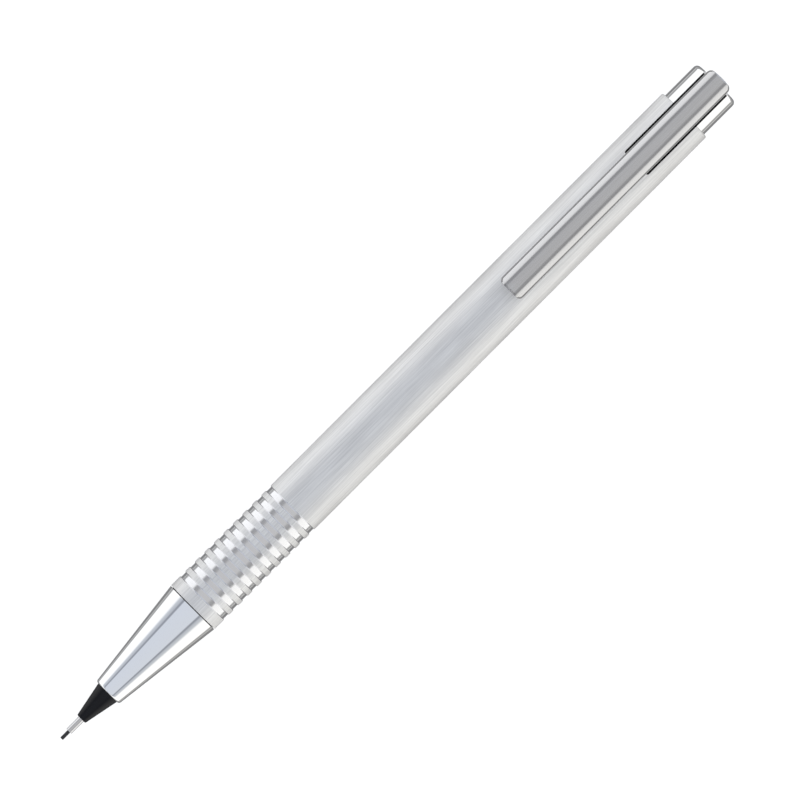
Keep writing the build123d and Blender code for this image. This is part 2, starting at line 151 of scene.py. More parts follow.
# Lead tube, ferrule and eraser
TUBE_FRONT = 50.0
TUBE_REAR = 120.0
TUBE_R = 2.60
TUBE_BORE_R = 2.10
FERRULE_FRONT = 115.5
FERRULE_REAR = 125.5
FERRULE_BORE_R = 1.80
FERRULE_WALL = 0.30
FERRULE_ROLLS = (124.3, 122.3)
ROLL_HALF = 0.30
ROLL_R = 2.50
ROLL_ROUND = 0.15
ERASER_FRONT = 121.0
ERASER_REAR = 129.5
ERASER_R = 2.30
ERASER_ROUND = 0.60

# Button
CAP_FRONT = 126.0
CAP_REAR = 135.94
CAP_R = 4.05
CAP_WALL = 0.40
CAP_ROUND = 0.72
CAP_DOME = 0.08
CAP_SLOT_HALF = 2.43
CAP_SLOT_FLOOR = 2.45

# Clip
CLIP_FRONT = 92.80
CLIP_REAR = 136.75
CLIP_HALF = 2.14
CLIP_SHEET = 0.45
CLIP_TOP = 7.15
CLIP_CROWN_R = 2.70
CLIP_CORNER_R = 0.80
CLIP_RIM_R = 0.08
CLIP_SPLAY = 0.22
CLIP_SPLAY_DROP = 0.47
CLIP_REAR_BOW = 0.12
CLIP_REAR_BOW_LENGTH = 3.0
CLIP_REAR_ROUND = 0.16
CLIP_BEND = 96.6
CLIP_TOE_TOP = 7.05
CLIP_TOE_STATION = 95.2
CLIP_TOE_BOTTOM = 4.60
CLIP_TOE_REAR = 97.2
CLIP_LEG_BOTTOM = 5.45
CLIP_EAR_FRONT = 126.7
CLIP_EAR_SLANT = 0.9
CLIP_EAR_BOTTOM = 3.05
CLIP_LUG_R = 0.75
PIN_STATION = 130.8
PIN_HEIGHT = 3.30
PIN_HOLE_R = 0.38

# Springs. The return spring stops just short of the connector that it pushes.
RETURN_LENGTH = 10.46
RETURN_R = 1.75
RETURN_WIRE_R = 0.15
RETURN_TURNS = 8
CLIP_COIL_STATION = 134.0
CLIP_COIL_FOOT = 3.0
CLIP_COIL_R = 0.80
CLIP_COIL_WIRE_R = 0.10
CLIP_COIL_TURNS = 6
COIL_GAP = 0.02

# Radii that the edges of the small pieces are broken to
EDGE_FINE = 0.03
EDGE_SMALL = 0.05
EDGE_MEDIUM = 0.08
EDGE_LARGE = 0.10

# The clip's crown is the model's highest line, so the pencil's axis is measured down from it.
AXIS_Z = CAD_BOX[1].z - CLIP_TOP * MM

# How far a cutter runs past what it cuts
PAST = 1.0

# How finely the shapes are made
ROUND_SIDES = 160
ARC_STEPS = 6
SHARP = math.radians(24)


# Materials


def feed(tree, socket, value):
    """Links a node's output to a socket, or sets the socket to a plain value."""
    if isinstance(value, bpy.types.NodeSocket):
        tree.links.new(value, socket)
    else:
        socket.default_value = value


def mix_colours(tree, share, first, second, how="MIX"):
    """One colour mixed into another by a share, or put over it in another way."""
    mix = tree.nodes.new("ShaderNodeMix")
    mix.data_type = "RGBA"
    mix.blend_type = how
    feed(tree, mix.inputs[0], share)
    feed(tree, mix.inputs[6], first)
    feed(tree, mix.inputs[7], second)
    return mix.outputs[2]


class Surface:
    """A Principled material, with short ways to wire the texture nodes that drive it."""

    def __init__(self, name, **settings):
        self.material = bpy.data.materials.new(name)
        self.material.use_nodes = True
        self.tree = self.material.node_tree
        self.shader = self.tree.nodes["Principled BSDF"]
        for label, value in settings.items():
            title = label.replace("_", " ").title().replace("Ior", "IOR")
            self.shader.inputs[title].default_value = value

    def node(self, kind, output, **inputs):
        """Adds a node, fills or links its inputs, and returns one of its outputs."""
        made = self.tree.nodes.new(kind)
        for label, value in inputs.items():
            feed(self.tree, made.inputs[label.replace("_", " ")], value)
        return made.outputs[output]

    def grain(self, along, across, detail=3.0):
        """Noise that repeats so many times a metre along the pencil and across it."""
        place = self.node("ShaderNodeTexCoord", "Object")
        stretched = self.node("ShaderNodeMapping", "Vector", Vector=place, Scale=(along, across, across))
        return self.node(
            "ShaderNodeTexNoise", "Fac", Vector=stretched, Scale=1.0, Detail=detail, Roughness=0.55
        )

    def spread(self, noise, low, high):
        """Stretches the middle of a noise over a range."""
        middle = {"From_Min": 0.3, "From_Max": 0.7}
        return self.node("ShaderNodeMapRange", "Result", Value=noise, To_Min=low, To_Max=high, **middle)

    def tint(self, noise, first, second):
        """A colour between two, by a noise."""
        return mix_colours(self.tree, self.spread(noise, 0.0, 1.0), (*first, 1), (*second, 1))

    def mixed(self, first, second, share):
        """Two noises added up by their shares."""
        both = self.tree.nodes.new("ShaderNodeMix")
        both.inputs[0].default_value = share
        self.tree.links.new(first, both.inputs[2])
        self.tree.links.new(second, both.inputs[3])
        return both.outputs[0]

    def link(self, value, label):
        """Drives one of the shader's inputs."""
        self.tree.links.new(value, self.shader.inputs[label])

    def relief(self, noise, depth):
        """Bumps the surface by a noise that stands for so many metres of height."""
        self.link(self.node("ShaderNodeBump", "Normal", Height=noise, Distance=depth), "Normal")


def brushed_barrel():
    """Stainless tube with a fine brush along its length."""
    s = Surface("brushed_barrel", metallic=1.0)
    streaks = s.grain(110, 5200, detail=4.0)
    clouds = s.grain(110, 420)
    shade = s.mixed(streaks, clouds, 0.35)
    s.link(s.tint(shade, (0.69, 0.686, 0.68), (0.955, 0.952, 0.94)), "Base Color")
    s.link(s.spread(clouds, 0.57, 0.67), "Roughness")
    s.relief(streaks, 0.010 * MM)
    return s.material


def polished_groove():
    """The cut face of the grip rings, brighter than the brushed lands."""
    s = Surface("polished_groove", metallic=1.0, base_color=(0.83, 0.835, 0.85, 1))
    s.link(s.spread(s.grain(9000, 300), 0.10, 0.18), "Roughness")
    return s.material


def painted_seam_shade():
    """Painted shade: near-black metal laid at the bottom of the seam behind the cone, standing in for the
    seam's shadow.
    """
    s = Surface("painted_seam_shade", metallic=0.6, base_color=(0.03, 0.03, 0.03, 1))
    s.link(s.spread(s.grain(9000, 900), 0.5, 0.7), "Roughness")
    return s.material


def chrome_plate():
    """Mirror chrome, with a trace of the polishing under it."""
    s = Surface("chrome_plate", metallic=1.0, base_color=(0.90, 0.905, 0.91, 1))
    s.link(s.spread(s.grain(120, 900), 0.02, 0.06), "Roughness")
    return s.material


def clip_steel():
    """Drawn stainless sheet, softly polished along its length."""
    s = Surface("clip_steel", metallic=1.0)
    drawn = s.grain(120, 6000)
    s.link(s.tint(drawn, (0.63, 0.63, 0.635), (0.67, 0.67, 0.675)), "Base Color")
    s.link(s.spread(drawn, 0.13, 0.19), "Roughness")
    s.relief(drawn, 0.001 * MM)
    return s.material


def polished_steel():
    """Ground and polished stainless, with fine rings round the piece."""
    s = Surface("polished_steel", metallic=1.0, base_color=(0.72, 0.72, 0.73, 1))
    s.link(s.spread(s.grain(6000, 500), 0.10, 0.20), "Roughness")
    return s.material


def black_plastic():
    """Moulded plastic with a satin skin."""
    s = Surface("black_plastic", base_color=(0.004, 0.004, 0.006, 1), specular_ior_level=0.22)
    skin = s.grain(2500, 2500)
    s.link(s.spread(skin, 0.24, 0.34), "Roughness")
    s.relief(skin, 0.002 * MM)
    return s.material


def grey_plastic():
    """Moulded plastic with faint flow lines."""
    s = Surface("grey_plastic")
    flow = s.grain(150, 900)
    s.link(s.tint(flow, (0.40, 0.41, 0.43), (0.48, 0.49, 0.51)), "Base Color")
    s.link(s.spread(flow, 0.35, 0.45), "Roughness")
    return s.material


def grommet_rubber():
    """Dull black rubber with a slightly uneven skin."""
    s = Surface("grommet_rubber", base_color=(0.03, 0.03, 0.03, 1))
    skin = s.grain(4000, 4000)
    s.link(s.spread(skin, 0.6, 0.8), "Roughness")
    s.relief(skin, 0.006 * MM)
    return s.material


def turned_metal(name, first, second):
    """Bare metal with the fine rings that a lathe leaves."""
    s = Surface(name, metallic=1.0)
    rings = s.grain(11000, 120)
    s.link(s.tint(rings, first, second), "Base Color")
    s.link(s.spread(rings, 0.20, 0.34), "Roughness")
    s.relief(rings, 0.003 * MM)
    return s.material


def spring_steel():
    """Drawn wire, a little uneven in its shine."""
    s = Surface("spring_steel", metallic=1.0)
    drawn = s.grain(1500, 1500)
    s.link(s.tint(drawn, (0.52, 0.52, 0.53), (0.60, 0.60, 0.61)), "Base Color")
    s.link(s.spread(drawn, 0.18, 0.28), "Roughness")
    return s.material


def graphite():
    """Dark lead with a slight sheen and the fine lines of its extrusion."""
    s = Surface("graphite", metallic=0.3)
    lines = s.grain(700, 14000)
    s.link(s.tint(lines, (0.020, 0.020, 0.022), (0.045, 0.045, 0.048)), "Base Color")
    s.link(s.spread(lines, 0.35, 0.5), "Roughness")
    s.relief(lines, 0.003 * MM)
    return s.material


def eraser_vinyl():
    """White vinyl with a chalky skin."""
    s = Surface("eraser_vinyl")
    chalk = s.grain(1800, 1800)
    s.link(s.tint(chalk, (0.82, 0.82, 0.80), (0.88, 0.88, 0.86)), "Base Color")
    s.link(s.spread(chalk, 0.65, 0.8), "Roughness")
    s.relief(chalk, 0.01 * MM)
    return s.material


MATERIALS = {
    "brushed_barrel": brushed_barrel(),
    "polished_groove": polished_groove(),
    # painted shade for the bottom of the seam behind the cone
    "painted_seam_shade": painted_seam_shade(),
    "chrome_plate": chrome_plate(),
    "clip_steel": clip_steel(),
    "polished_steel": polished_steel(),
    "black_plastic": black_plastic(),
    "grey_plastic": grey_plastic(),
    "grommet_rubber": grommet_rubber(),
    "brass": turned_metal("brass", (0.72, 0.53, 0.24), (0.80, 0.60, 0.29)),
    "turned_aluminium": turned_metal("turned_aluminium", (0.72, 0.72, 0.73), (0.80, 0.80, 0.81)),
    "spring_steel": spring_steel(),
    "graphite": graphite(),
    "eraser_vinyl": eraser_vinyl(),
}

for part in frame["record"]["subparts"]:
    for holder in frame["nodes"][part["node"]].material_slots:
        holder.material = MATERIALS[part["material_slot"]]


# Shapes


def collect(name, points, faces):
    """A mesh object from points in the pencil's own stations and heights."""
    mesh = bpy.data.meshes.new(name)
    mesh.from_pydata([(POINT_X + x * MM, y * MM, AXIS_Z + z * MM) for x, y, z in points], [], faces)
    made = bpy.data.objects.new(name, mesh)
    bpy.context.scene.collection.objects.link(made)
    weld(made)
    return made


def weld(made):
    """Joins points that lie together, drops what collapses, and turns every face outwards."""
    reach = 0.001 * MM
    shape = bmesh.new()
    shape.from_mesh(made.data)
    bmesh.ops.remove_doubles(shape, verts=shape.verts, dist=reach)
    bmesh.ops.delete(shape, geom=[v for v in shape.verts if not v.link_faces], context="VERTS")
    bmesh.ops.recalc_face_normals(shape, faces=shape.faces)
    shape.to_mesh(made.data)
    shape.free()


def outline(*corners):
    """A closed half section, where a corner with a third number is rounded to that radius."""
    least_steps = 3
    points = []
    for index, corner in enumerate(corners):
        here = Vector(corner[:2])
        if len(corner) == 2:
            points.append(here)
            continue
        before = (Vector(corners[index - 1][:2]) - here).normalized()
        after = (Vector(corners[(index + 1) % len(corners)][:2]) - here).normalized()
        half = before.angle(after) / 2
        middle = here + (before + after).normalized() * corner[2] / math.sin(half)
        first = (here + before * corner[2] / math.tan(half) - middle).normalized()
        last = (here + after * corner[2] / math.tan(half) - middle).normalized()
        steps = max(least_steps, round(ARC_STEPS * first.angle(last) / (math.pi / 2)))
        for step in range(steps + 1):
            points.append(middle + corner[2] * first.slerp(last, step / steps))
    return with_supports(points)


def with_supports(points):
    """Adds a point near each end of every long run, so that a rounded corner's shading ends there."""
    guard = 0.04
    long_run = 6 * guard
    kept = []
    for index, here in enumerate(points):
        kept.append(here)
        run = points[(index + 1) % len(points)] - here
        if run.length > long_run:
            kept.append(here + run.normalized() * guard)
            kept.append(here + run - run.normalized() * guard)
    return kept


def fall_from(run, arc_r):
    """How far a circle has fallen away from its tangent after a run along it."""
    return arc_r - math.sqrt(arc_r**2 - run**2)


def arc_through(run, fall):
    """The radius of a circle that falls so far over a run."""
    return (run**2 + fall**2) / (2 * fall)


def lathe(name, section, swell=None):
    """Turns a closed half section about the axis. swell gives what to add to a radius, if anything."""
    points = []
    faces = []
    rows = len(section)
    for side in range(ROUND_SIDES):
        turn = 2 * math.pi * side / ROUND_SIDES
        for station, radius in section:
            reach = radius + (swell(station, radius, turn) if swell else 0)
            points.append((station, reach * math.sin(turn), reach * math.cos(turn)))
    for side in range(ROUND_SIDES):
        here = side * rows
        after = (side + 1) % ROUND_SIDES * rows
        for row in range(rows):
            onward = (row + 1) % rows
            if section[row][1] or section[onward][1]:
                faces.append((here + row, after + row, after + onward, here + onward))
    return collect(name, points, faces)


def prism(ring, carry):
    """A closed solid from a ring of points and the step that carries it to its far end."""
    count = len(ring)
    far = [tuple(Vector(point) + Vector(carry)) for point in ring]
    faces = [tuple(range(count)), tuple(range(2 * count - 1, count - 1, -1))]
    for index in range(count):
        after = (index + 1) % count
        faces.append((index, index + count, after + count, after))
    return collect("cutter", list(ring) + far, faces)


def cut(made, cutter):
    """Takes one solid out of another, and deletes the cutter."""
    boolean = made.modifiers.new("cut", "BOOLEAN")
    boolean.operation = "DIFFERENCE"
    boolean.solver = "EXACT"
    boolean.object = cutter
    bpy.context.view_layer.update()
    graph = bpy.context.evaluated_depsgraph_get()
    mesh = bpy.data.meshes.new_from_object(made.evaluated_get(graph))
    made.modifiers.clear()
    made.data = mesh
    bpy.data.objects.remove(cutter)
    weld(made)


def stand_in(made, node, *finishes):
    """Smooths a finished shape and puts it in the place of its CAD node."""
    mesh = made.data
    mesh.materials.clear()
    for finish in finishes:
        mesh.materials.append(MATERIALS[finish])
    mesh.shade_smooth()
    mesh.set_sharp_from_angle(angle=SHARP)
    bodies = frame["record"]["behaviour"]["bodies"]
    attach(made, next(name for name in bodies if node in bodies[name]))
    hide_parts(node)


def second_finish(made, stations, radii):
    """Gives a shape's second finish to the faces whose middles lie within two pairs of limits."""
    for face in made.data.polygons:
        station = (face.center.x - POINT_X) / MM
        radius = math.hypot(face.center.y, face.center.z - AXIS_Z) / MM
        if stations[0] < station < stations[1] and radii[0] < radius < radii[1]:
            face.material_index = 1


# Barrel


def groove_section(station):
    """Corners of one grip ring, a flat-bottomed groove with rounded walls."""
    half = GROOVE_WIDTH / 2
    floor = half - GROOVE_SLOPE
    bottom_r = BARREL_R - GROOVE_DEPTH
    return [
        (station - half, BARREL_R, GROOVE_EDGE_R),
        (station - floor, bottom_r, GROOVE_FOOT_R),
        (station + floor, bottom_r, GROOVE_FOOT_R),
        (station + half, BARREL_R, GROOVE_EDGE_R),
    ]


def barrel_slot():
    """What the clip's slot takes out of the barrel, round cornered at its closed end."""
    bottom = BARREL_R / 2
    open_end = BARREL_REAR + PAST
    ring = []
    for side, first, last in ((-1, 0, 90), (1, 90, 0)):
        for step in range(ARC_STEPS + 1):
            turn = math.radians(first + (last - first) * step / ARC_STEPS)
            station = SLOT_FRONT + SLOT_CORNER_R * (1 - math.sin(turn))
            aside = SLOT_HALF - SLOT_CORNER_R * (1 - math.cos(turn))
            ring.append((station, side * aside, bottom))
    ring += [(open_end, SLOT_HALF, bottom), (open_end, -SLOT_HALF, bottom)]
    return prism(ring, (0, 0, BARREL_R))


def barrel():
    """The brushed tube, with its polished grip rings and the slot for the clip."""
    corners = [(BARREL_FRONT, BARREL_BORE_R), (BARREL_FRONT, BARREL_R, EDGE_SMALL)]
    for groove in range(GROOVE_COUNT):
        corners += groove_section(FIRST_GROOVE + groove * GROOVE_PITCH)
    corners += [(BARREL_REAR, BARREL_R, BARREL_END_ROUND), (BARREL_REAR, BARREL_BORE_R, EDGE_MEDIUM)]
    made = lathe("ringed_barrel", outline(*corners))
    cut(made, barrel_slot())
    stand_in(made, "barrel", "brushed_barrel", "polished_groove")
    plain_lip = 0.5
    slack = 0.005
    grip = (BARREL_FRONT + plain_lip, FIRST_GROOVE + GROOVE_COUNT * GROOVE_PITCH)
    below_skin = (BARREL_R - GROOVE_DEPTH - 2 * slack, BARREL_R - slack)
    second_finish(made, grip, below_skin)


# Writing end


def thread(station, radius, turn):
    """How far one helical thread dips below its crest."""
    tolerance = 0.001
    groove_share = 0.8
    if abs(radius - THREAD_R) > tolerance or not THREAD_FRONT < station < THREAD_REAR:
        return 0
    phase = (station / THREAD_PITCH - turn / (2 * math.pi)) % 1
    fade = min(1, (station - THREAD_FRONT) / THREAD_PITCH, (THREAD_REAR - station) / THREAD_PITCH)
    return -THREAD_DEPTH * fade * max(0, 1 - abs(2 * phase - 1) / groove_share)


def nose_cone():
    """The chrome cone, with its threaded stub and the stepped bore for the clutch."""
    clearance_bore_r = 1.75
    stop_station = 18.3
    housing_bore_r = 2.35
    wide_station = 25.0
    wide_bore_r = 2.95
    stub_round = 0.06
    seam_front = BARREL_FRONT - SEAM
    steps_per_turn = 10
    steps = round((THREAD_REAR - THREAD_FRONT) / THREAD_PITCH * steps_per_turn)
    crest = [(THREAD_REAR - step * THREAD_PITCH / steps_per_turn, THREAD_R) for step in range(steps + 1)]
    section = outline(
        (NOSE_FRONT, TIP_SHANK_R),
        (TIP_SHANK_REAR, TIP_SHANK_R),
        (TIP_SHANK_REAR, clearance_bore_r),
        (stop_station, clearance_bore_r),
        (stop_station, housing_bore_r),
        (wide_station, housing_bore_r),
        (wide_station, wide_bore_r),
        (STUB_REAR, wide_bore_r, stub_round),
        (STUB_REAR, STUB_RELIEF_R),
        *crest,
        (THREAD_FRONT, STUB_RELIEF_R),
        (BARREL_FRONT, STUB_RELIEF_R),
        (BARREL_FRONT, NECK_R),
        (seam_front, NECK_R),
        (seam_front, NOSE_REAR_R, NOSE_REAR_ROUND),
        (NOSE_FRONT, NOSE_FRONT_R, NOSE_FRONT_ROUND),
    )
    made = lathe("chrome_nose", section, thread)
    # The second finish is painted shade: near-black metal on the faces of the seam's recess, darkening it
    # as its shadow would.
    stand_in(made, "nose_cone", "chrome_plate", "painted_seam_shade")
    slack = 0.1
    painted_shade_reach = 0.3
    second_finish(made, (seam_front - slack, STUB_REAR), (NECK_R - slack, NECK_R + painted_shade_reach))


def tip_insert():
    """The black tapered tip and its hidden shank."""
    section = outline(
        (TIP_FRONT, SLEEVE_R),
        (SLEEVE_HEAD_FRONT, SLEEVE_HEAD_R),
        (SLEEVE_REAR, SLEEVE_HEAD_R),
        (SLEEVE_REAR, SLEEVE_FUNNEL_R),
        (RETAINER_FRONT, SLEEVE_FUNNEL_R),
        (RETAINER_FRONT, RETAINER_R),
        (TIP_SHANK_REAR, RETAINER_R),
        (TIP_SHANK_REAR, TIP_SHANK_R),
        (NOSE_FRONT, TIP_SHANK_R),
        (NOSE_FRONT, TIP_REAR_R, TIP_REAR_ROUND),
        (TIP_FRONT, TIP_FRONT_R, TIP_FRONT_ROUND),
    )
    stand_in(lathe("black_tip", section), "tip_insert", "black_plastic")


def guide_sleeve():
    """The thin sleeve round the lead, with a burnished front edge."""
    section = outline(
        (SLEEVE_FRONT, SLEEVE_BORE_R, EDGE_FINE),
        (SLEEVE_FUNNEL_FRONT, SLEEVE_BORE_R),
        (SLEEVE_REAR, SLEEVE_FUNNEL_R),
        (SLEEVE_REAR, SLEEVE_HEAD_R),
        (SLEEVE_HEAD_FRONT, SLEEVE_HEAD_R),
        (TIP_FRONT, SLEEVE_R),
        (SLEEVE_FRONT, SLEEVE_R, EDGE_MEDIUM),
    )
    stand_in(lathe("steel_sleeve", section), "guide_sleeve", "polished_steel")


def writing_lead():
    """The lead, with a writing-worn front edge."""
    rear_round = 0.02
    section = outline(
        (0, 0), (LEAD_LENGTH, 0), (LEAD_LENGTH, LEAD_R, rear_round), (0, LEAD_R, LEAD_WORN_ROUND)
    )
    stand_in(lathe("lead_stick", section), "writing_lead", "graphite")


# Fittings inside the barrel


def clutch_housing():
    """The turned tube round the clutch."""
    lead_in = 0.12
    section = outline(
        (HOUSING_FRONT, RING_BORE_R, EDGE_SMALL),
        (HOUSING_COLLAR_FRONT, RING_BORE_R),
        (HOUSING_COLLAR_FRONT, HOUSING_COLLAR_R),
        (HOUSING_COLLAR_REAR, HOUSING_COLLAR_R),
        (HOUSING_COLLAR_REAR, SPRING_BORE_R),
        (HOUSING_REAR, SPRING_BORE_R, EDGE_SMALL),
        (HOUSING_REAR, HOUSING_REAR_R, EDGE_LARGE),
        (BUSH_SHOULDER, HOUSING_REAR_R),
        (BUSH_SHOULDER, HOUSING_FLANGE_R, EDGE_MEDIUM),
        (HOUSING_FLANGE_FRONT, HOUSING_FLANGE_R, EDGE_MEDIUM),
        (HOUSING_FLANGE_FRONT, HOUSING_R),
        (HOUSING_FRONT, HOUSING_R, lead_in),
    )
    stand_in(lathe("housing_tube", section), "clutch_housing", "turned_aluminium")


def front_bush():
    """The brass bush that the nose cone screws into."""
    section = outline(
        (BUSH_FRONT, BUSH_THREAD_BORE_R, EDGE_LARGE),
        (BUSH_SHOULDER, BUSH_THREAD_BORE_R),
        (BUSH_SHOULDER, BUSH_BORE_R, EDGE_SMALL),
        (BUSH_REAR, BUSH_BORE_R, EDGE_SMALL),
        (BUSH_REAR, BARREL_BORE_R, EDGE_MEDIUM),
        (BUSH_FRONT, BARREL_BORE_R, EDGE_MEDIUM),
    )
    stand_in(lathe("threaded_bush", section), "front_bush", "brass")


def chuck_ring():
    """The brass ring that squeezes the jaws, with its tapered mouth."""
    section = outline(
        (RING_FRONT, RING_MOUTH_R, EDGE_FINE),
        (RING_TAPER_REAR, RING_THROAT_R),
        (RING_REAR, RING_THROAT_R, EDGE_SMALL),
        (RING_REAR, RING_R, EDGE_LARGE),
        (RING_FRONT, RING_R, EDGE_LARGE),
    )
    stand_in(lathe("clutch_ring", section), "chuck_ring", "brass")


def lead_reservoir():
    """The moulded tube for spare leads."""
    front_round = 0.06
    section = outline(
        (TUBE_FRONT, TUBE_BORE_R),
        (TUBE_FRONT, TUBE_R, front_round),
        (TUBE_REAR, TUBE_R, EDGE_LARGE),
        (TUBE_REAR, TUBE_BORE_R),
    )
    stand_in(lathe("lead_tube", section), "lead_reservoir", "grey_plastic")


def eraser_ferrule():
    """The eraser's cup, with two rings rolled into its wall."""
    rolls = []
    for station in FERRULE_ROLLS:
        rolls += [
            (station + ROLL_HALF, TUBE_R, ROLL_ROUND),
            (station, ROLL_R, ROLL_ROUND),
            (station - ROLL_HALF, TUBE_R, ROLL_ROUND),
        ]
    section = outline(
        (FERRULE_FRONT, FERRULE_BORE_R, EDGE_SMALL),
        (TUBE_REAR - FERRULE_WALL, FERRULE_BORE_R),
        (TUBE_REAR - FERRULE_WALL, 0),
        (ERASER_FRONT, 0),
        (ERASER_FRONT, ERASER_R),
        (FERRULE_REAR, ERASER_R),
        (FERRULE_REAR, TUBE_R, EDGE_MEDIUM),
        *rolls,
        (TUBE_REAR, TUBE_R, EDGE_SMALL),
        (TUBE_REAR, TUBE_BORE_R),
        (FERRULE_FRONT, TUBE_BORE_R, EDGE_MEDIUM),
    )
    stand_in(lathe("ferrule_cup", section), "eraser_ferrule", "turned_aluminium")


def eraser():
    """The white eraser, rounded at its rubbing edge."""
    section = outline(
        (ERASER_FRONT, 0),
        (ERASER_REAR, 0),
        (ERASER_REAR, ERASER_R, ERASER_ROUND),
        (ERASER_FRONT, ERASER_R, EDGE_SMALL),
    )
    stand_in(lathe("eraser_stick", section), "eraser", "eraser_vinyl")


# Button


def push_button():
    """The chrome cap, domed at its end and slotted along its top for the clip."""
    dome_steps = 12
    dome_r = arc_through(CAP_R, CAP_DOME)
    dome = [CAP_R * step / dome_steps for step in range(dome_steps)]
    inside_r = CAP_R - CAP_WALL
    section = outline(
        (CAP_FRONT, inside_r, EDGE_SMALL),
        (CAP_REAR - CAP_WALL, inside_r),
        (CAP_REAR - CAP_WALL, 0),
        *[(CAP_REAR - fall_from(radius, dome_r), radius) for radius in dome if radius < CAP_R - CAP_ROUND],
        (CAP_REAR - CAP_DOME, CAP_R, CAP_ROUND),
        (CAP_FRONT, CAP_R, EDGE_MEDIUM),
    )
    made = lathe("chrome_cap", section)
    front, rear = CAP_FRONT - PAST, CAP_REAR + PAST
    left, right = -CAP_SLOT_HALF, CAP_SLOT_HALF
    floor = CAP_SLOT_FLOOR
    ring = [(front, left, floor), (rear, left, floor), (rear, right, floor), (front, right, floor)]
    cut(made, prism(ring, (0, 0, CAP_R)))
    stand_in(made, "push_button", "chrome_plate")


# Clip


def clip_top(station, aside):
    """The height of the clip's crowned upper face."""
    height = CLIP_TOP - fall_from(aside, CLIP_CROWN_R)
    if station < CLIP_BEND:
        dip_r = arc_through(CLIP_BEND - CLIP_FRONT, CLIP_TOP - CLIP_TOE_TOP)
        height -= fall_from(CLIP_BEND - station, dip_r)
    past_round = station - (CLIP_REAR - CLIP_REAR_ROUND)
    if past_round > 0:
        height -= fall_from(min(past_round, CLIP_REAR_ROUND), CLIP_REAR_ROUND)
    return height


def clip_bottom(station):
    """The height of the clip's lower edge: toe, legs, ears and the lugs round the pin."""
    if station < CLIP_TOE_REAR:
        toe_r = arc_through(CLIP_TOE_REAR - CLIP_TOE_STATION, CLIP_LEG_BOTTOM - CLIP_TOE_BOTTOM)
        return CLIP_TOE_BOTTOM + fall_from(station - CLIP_TOE_STATION, toe_r)
    slant = min(1, max(0, (station - CLIP_EAR_FRONT) / CLIP_EAR_SLANT))
    height = CLIP_LEG_BOTTOM + slant * (CLIP_EAR_BOTTOM - CLIP_LEG_BOTTOM)
    from_pin = abs(station - PIN_STATION)
    if from_pin < CLIP_LUG_R:
        height = min(height, PIN_HEIGHT - math.sqrt(CLIP_LUG_R**2 - from_pin**2))
    return height


def clip_plan():
    """Stations along the clip, each with its half width and the angle that its edge faces."""
    corner_steps = 2 * ARC_STEPS
    toe_steps = 16
    lug_steps = 12
    leg_middle = 110.0
    tail = 135.0
    corner = []
    for step in range(corner_steps + 1):
        turn = math.radians(90 * step / corner_steps)
        setback = CLIP_CORNER_R * (1 - math.cos(turn))
        half = CLIP_HALF - CLIP_CORNER_R * (1 - math.sin(turn))
        corner.append((setback, half, turn))
    toe_front = CLIP_FRONT + CLIP_CORNER_R
    toe_length = CLIP_TOE_REAR - toe_front
    straight = [toe_front + toe_length * step / toe_steps for step in range(1, toe_steps + 1)]
    straight += [leg_middle, CLIP_EAR_FRONT, CLIP_EAR_FRONT + CLIP_EAR_SLANT]
    for step in range(lug_steps + 1):
        straight.append(PIN_STATION - CLIP_LUG_R * math.cos(math.pi * step / lug_steps))
    straight.append(tail)
    rows = [(CLIP_FRONT + setback, half, turn) for setback, half, turn in corner]
    rows += [(station, CLIP_HALF, math.pi / 2) for station in straight]
    rows += [(CLIP_REAR - setback, half, math.pi - turn) for setback, half, turn in reversed(corner)]
    return rows


def clip_edge(last, columns):
    """The places round the border of the clip's grid of rows and columns, in order."""
    edge = [(0, column) for column in range(columns + 1)]
    edge += [(row, columns) for row in range(1, last + 1)]
    edge += [(last, column) for column in range(columns - 1, -1, -1)]
    edge += [(row, 0) for row in range(last - 1, 0, -1)]
    return edge


